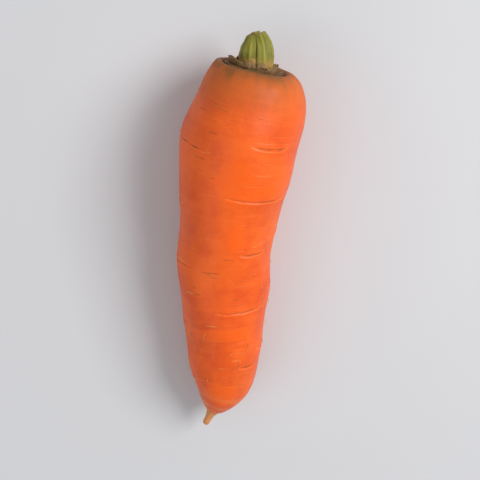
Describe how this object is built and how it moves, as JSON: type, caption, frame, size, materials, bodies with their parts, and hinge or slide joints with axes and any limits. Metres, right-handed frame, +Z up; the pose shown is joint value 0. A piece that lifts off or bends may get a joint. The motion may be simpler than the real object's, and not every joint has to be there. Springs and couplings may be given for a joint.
{
  "type": "carrot",
  "caption": "Short, blunt-ended orange carrot lying on its side, topped, with a tuft of cut green leaf stalks on its crown.",
  "frame": {"origin": "on the flat resting spot on the root's underside, straight below its weight", "axes": "+Y along the root from its tip to its crown, +Z up, +X to the right when it is seen from above with the crown at the top"},
  "size_m": [0.0502, 0.1616, 0.0459],
  "materials": {
    "orange_skin": "satin",
    "dry_leaf": "matte",
    "leaf_green": "satin"
  },
  "bodies": {
    "root": {"taproot": "orange_skin", "dry_leaf_bases": "dry_leaf", "leaf_stalks": "leaf_green"}
  },
  "joints": []
}
